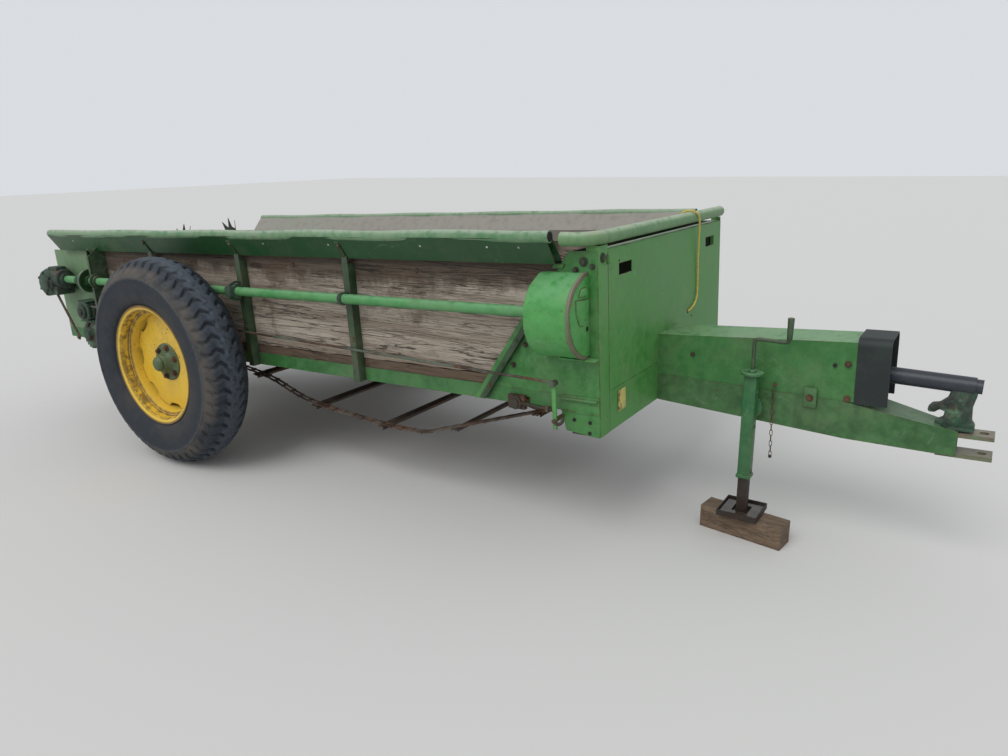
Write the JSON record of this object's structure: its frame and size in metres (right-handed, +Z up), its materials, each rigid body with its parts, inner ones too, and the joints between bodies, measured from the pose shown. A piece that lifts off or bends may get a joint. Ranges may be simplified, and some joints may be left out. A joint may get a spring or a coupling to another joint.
{
  "type": "towed manure spreader",
  "caption": "Towed manure spreader: wooden box with a chain apron, rear beater, side drive shaft, two wheels, and a tongue parked on its screw jack and a block.",
  "frame": {"origin": "on the ground under the middle of the machine, half way along its length and between its wheels", "axes": "+X forward to the hitch, +Y to the left, +Z up"},
  "size_m": [4.8404, 1.905, 1.1709],
  "materials": {
    "black_paint": "worn satin",
    "greasy_cast_iron": "old green paint under grease",
    "green_paint": "faded, scratched, rust at edges",
    "rubber_sheet": "matt",
    "rusty_steel": "brown rust",
    "tyre": "worn, dusty",
    "weathered_wood": "grey, rough, unpainted",
    "yellow_paint": "gloss gone, rust at the flange"
  },
  "bodies": {
    "frame": {"sill_left": "green_paint", "sill_right": "green_paint", "cross_members": "green_paint", "axle": "green_paint", "floor_boards": "weathered_wood", "side_boards_left": "weathered_wood", "side_boards_right": "weathered_wood", "stakes_left": "green_paint", "stakes_right": "green_paint", "rail_left": "green_paint", "rail_right": "green_paint", "front_rail": "green_paint", "front_panel": "green_paint", "front_wall": "rusty_steel", "side_panel_left": "green_paint", "side_panel_right": "green_paint", "front_gusset_right": "green_paint", "chain_guard": "green_paint", "drive_case": "greasy_cast_iron", "rear_plate_left": "green_paint", "rear_plate_right": "green_paint", "shaft_bearings": "rusty_steel", "bevel_gearbox": "greasy_cast_iron", "apron": "rusty_steel", "apron_shafts": "rusty_steel", "ratchet_drive": "green_paint", "feed_control": "rusty_steel", "tongue": "green_paint", "hitch": "rusty_steel", "input_shield": "green_paint", "rubber_boot": "rubber_sheet", "shaft_rest": "greasy_cast_iron", "jack_tube": "green_paint", "jack_crank": "greasy_cast_iron", "wood_block": "weathered_wood"},
    "wheel_left": {"tyre_left": "tyre", "rim_left": "yellow_paint", "hub_left": "green_paint"},
    "wheel_right": {"tyre_right": "tyre", "rim_right": "yellow_paint", "hub_right": "green_paint"},
    "beater": {"beater": "rusty_steel"},
    "side_shaft": {"side_shaft": "green_paint"},
    "input_shaft": {"input_shaft": "black_paint"},
    "jack_leg": {"jack_leg": "rusty_steel"}
  },
  "joints": [
    {"name": "wheel_left_turn", "type": "hinge", "parent": "frame", "child": "wheel_left", "pos_m": [-0.90995, 0.835, 0.5], "axis": [0, 1, 0], "continuous": true},
    {"name": "wheel_right_turn", "type": "hinge", "parent": "frame", "child": "wheel_right", "pos_m": [-0.90995, -0.835, 0.5], "axis": [0, 1, 0], "continuous": true},
    {"name": "beater_turn", "type": "hinge", "parent": "frame", "child": "beater", "pos_m": [-2.17018, 0, 0.77118], "axis": [0, 1, 0], "continuous": true},
    {"name": "side_shaft_turn", "type": "hinge", "parent": "frame", "child": "side_shaft", "pos_m": [-0.42194, -0.69, 0.85225], "axis": [0.9994, 0, 0.0349], "continuous": true},
    {"name": "input_shaft_turn", "type": "hinge", "parent": "frame", "child": "input_shaft", "pos_m": [1.27558, 0, 0.66638], "axis": [0.9999, 0, -0.0131], "continuous": true},
    {"name": "jack_slide", "type": "slide", "parent": "frame", "child": "jack_leg", "axis": [0, 0, 1], "range_m": [0, 0.135]}
  ],
  "couplings": [
    {"joint": "side_shaft_turn", "follows": "beater_turn", "ratio": -1.35},
    {"joint": "input_shaft_turn", "follows": "beater_turn", "ratio": -1.8}
  ]
}
